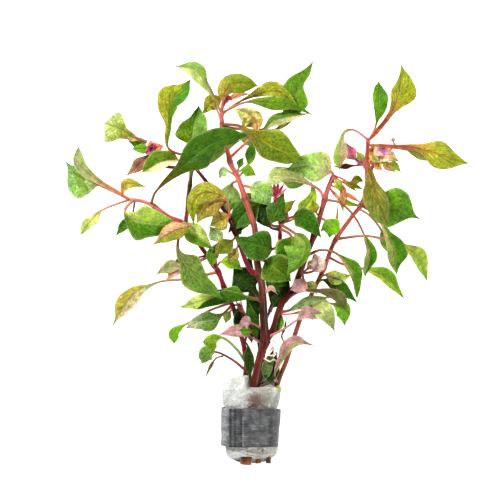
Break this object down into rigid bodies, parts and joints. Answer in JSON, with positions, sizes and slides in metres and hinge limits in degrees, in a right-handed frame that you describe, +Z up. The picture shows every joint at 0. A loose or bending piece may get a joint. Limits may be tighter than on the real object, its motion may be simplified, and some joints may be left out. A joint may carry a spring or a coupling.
{
  "type": "alternanthera bunch",
  "caption": "Cut bunch of leafy alternanthera stems in a plug of filter wool tied with a lead strip, lying on its back.",
  "frame": {"origin": "middle of the lead strip's flat back, on the surface that the bunch lies on", "axes": "+Y along the bunch from the tie to the leaf tips, +X to its right seen from above, +Z up from the surface"},
  "size_m": [0.2026, 0.2026, 0.0597],
  "materials": {
    "lead": "soft dull grey lead, scratched",
    "wool": "loose white filter wool",
    "stem_red": "fresh red-brown stem, satin",
    "stem_green": "fresh olive stem, satin",
    "leaf_green": "fresh green leaf, semi-gloss",
    "leaf_lime": "fresh yellow-green leaf, semi-gloss",
    "leaf_olive": "fresh olive leaf with red veins, semi-gloss",
    "young_leaf": "young magenta leaf, semi-gloss"
  },
  "bodies": {
    "root": {"lead_strip": "lead", "filter_wool": "wool", "stem_main": "stem_red", "stem_right_of_main": "stem_red", "stem_left": "stem_red", "shoot_left_upper": "stem_green", "shoot_main_left": "stem_red", "stem_right": "stem_red", "stem_green_inner": "stem_green", "shoot_crimson": "stem_red", "shoot_tip_left": "young_leaf", "shoot_tip_crimson": "young_leaf", "shoot_tip_right": "young_leaf", "leaf_left_1": "leaf_green", "leaf_left_2": "leaf_green", "leaf_left_3": "leaf_lime", "leaf_left_4": "leaf_green", "leaf_front_left": "leaf_green", "leaf_upper_left_1": "leaf_green", "leaf_upper_left_2": "leaf_olive", "leaf_upper_left_3": "leaf_green", "leaf_upper_left_4": "leaf_lime", "leaf_top_1": "leaf_olive", "leaf_top_2": "leaf_lime", "leaf_top_3": "leaf_lime", "leaf_top_4": "leaf_lime", "leaf_front_top": "leaf_green", "leaf_top_5": "leaf_olive", "leaf_centre_1": "leaf_olive", "leaf_upper_right_1": "leaf_olive", "leaf_upper_right_2": "leaf_green", "leaf_right_1": "leaf_green", "leaf_right_2": "leaf_olive", "leaf_right_3": "leaf_olive", "leaf_right_4": "leaf_olive", "leaf_front_right": "leaf_olive", "leaf_right_5": "leaf_green", "leaf_right_6": "leaf_green", "leaf_right_7": "leaf_lime", "leaf_right_8": "leaf_green", "leaf_lower_right_1": "leaf_green", "leaf_lower_right_2": "leaf_lime", "leaf_lower_right_3": "leaf_green", "leaf_lower_right_4": "leaf_olive", "leaf_lower_right_5": "leaf_olive", "leaf_lower_left_1": "leaf_green", "leaf_lower_left_2": "leaf_green", "leaf_lower_left_3": "leaf_green", "leaf_lower_left_4": "leaf_lime", "leaf_front_centre_left": "leaf_green", "leaf_left_low": "leaf_olive", "leaf_centre_low": "leaf_green", "leaf_front_centre": "leaf_green", "leaf_front_centre_right": "leaf_green", "leaf_back_left": "leaf_green", "leaf_back_right": "leaf_green", "leaf_back_top": "leaf_green", "leaf_back_upper_left": "leaf_green", "leaf_back_upper_right": "leaf_green", "leaf_back_far_right": "leaf_green"}
  },
  "joints": []
}
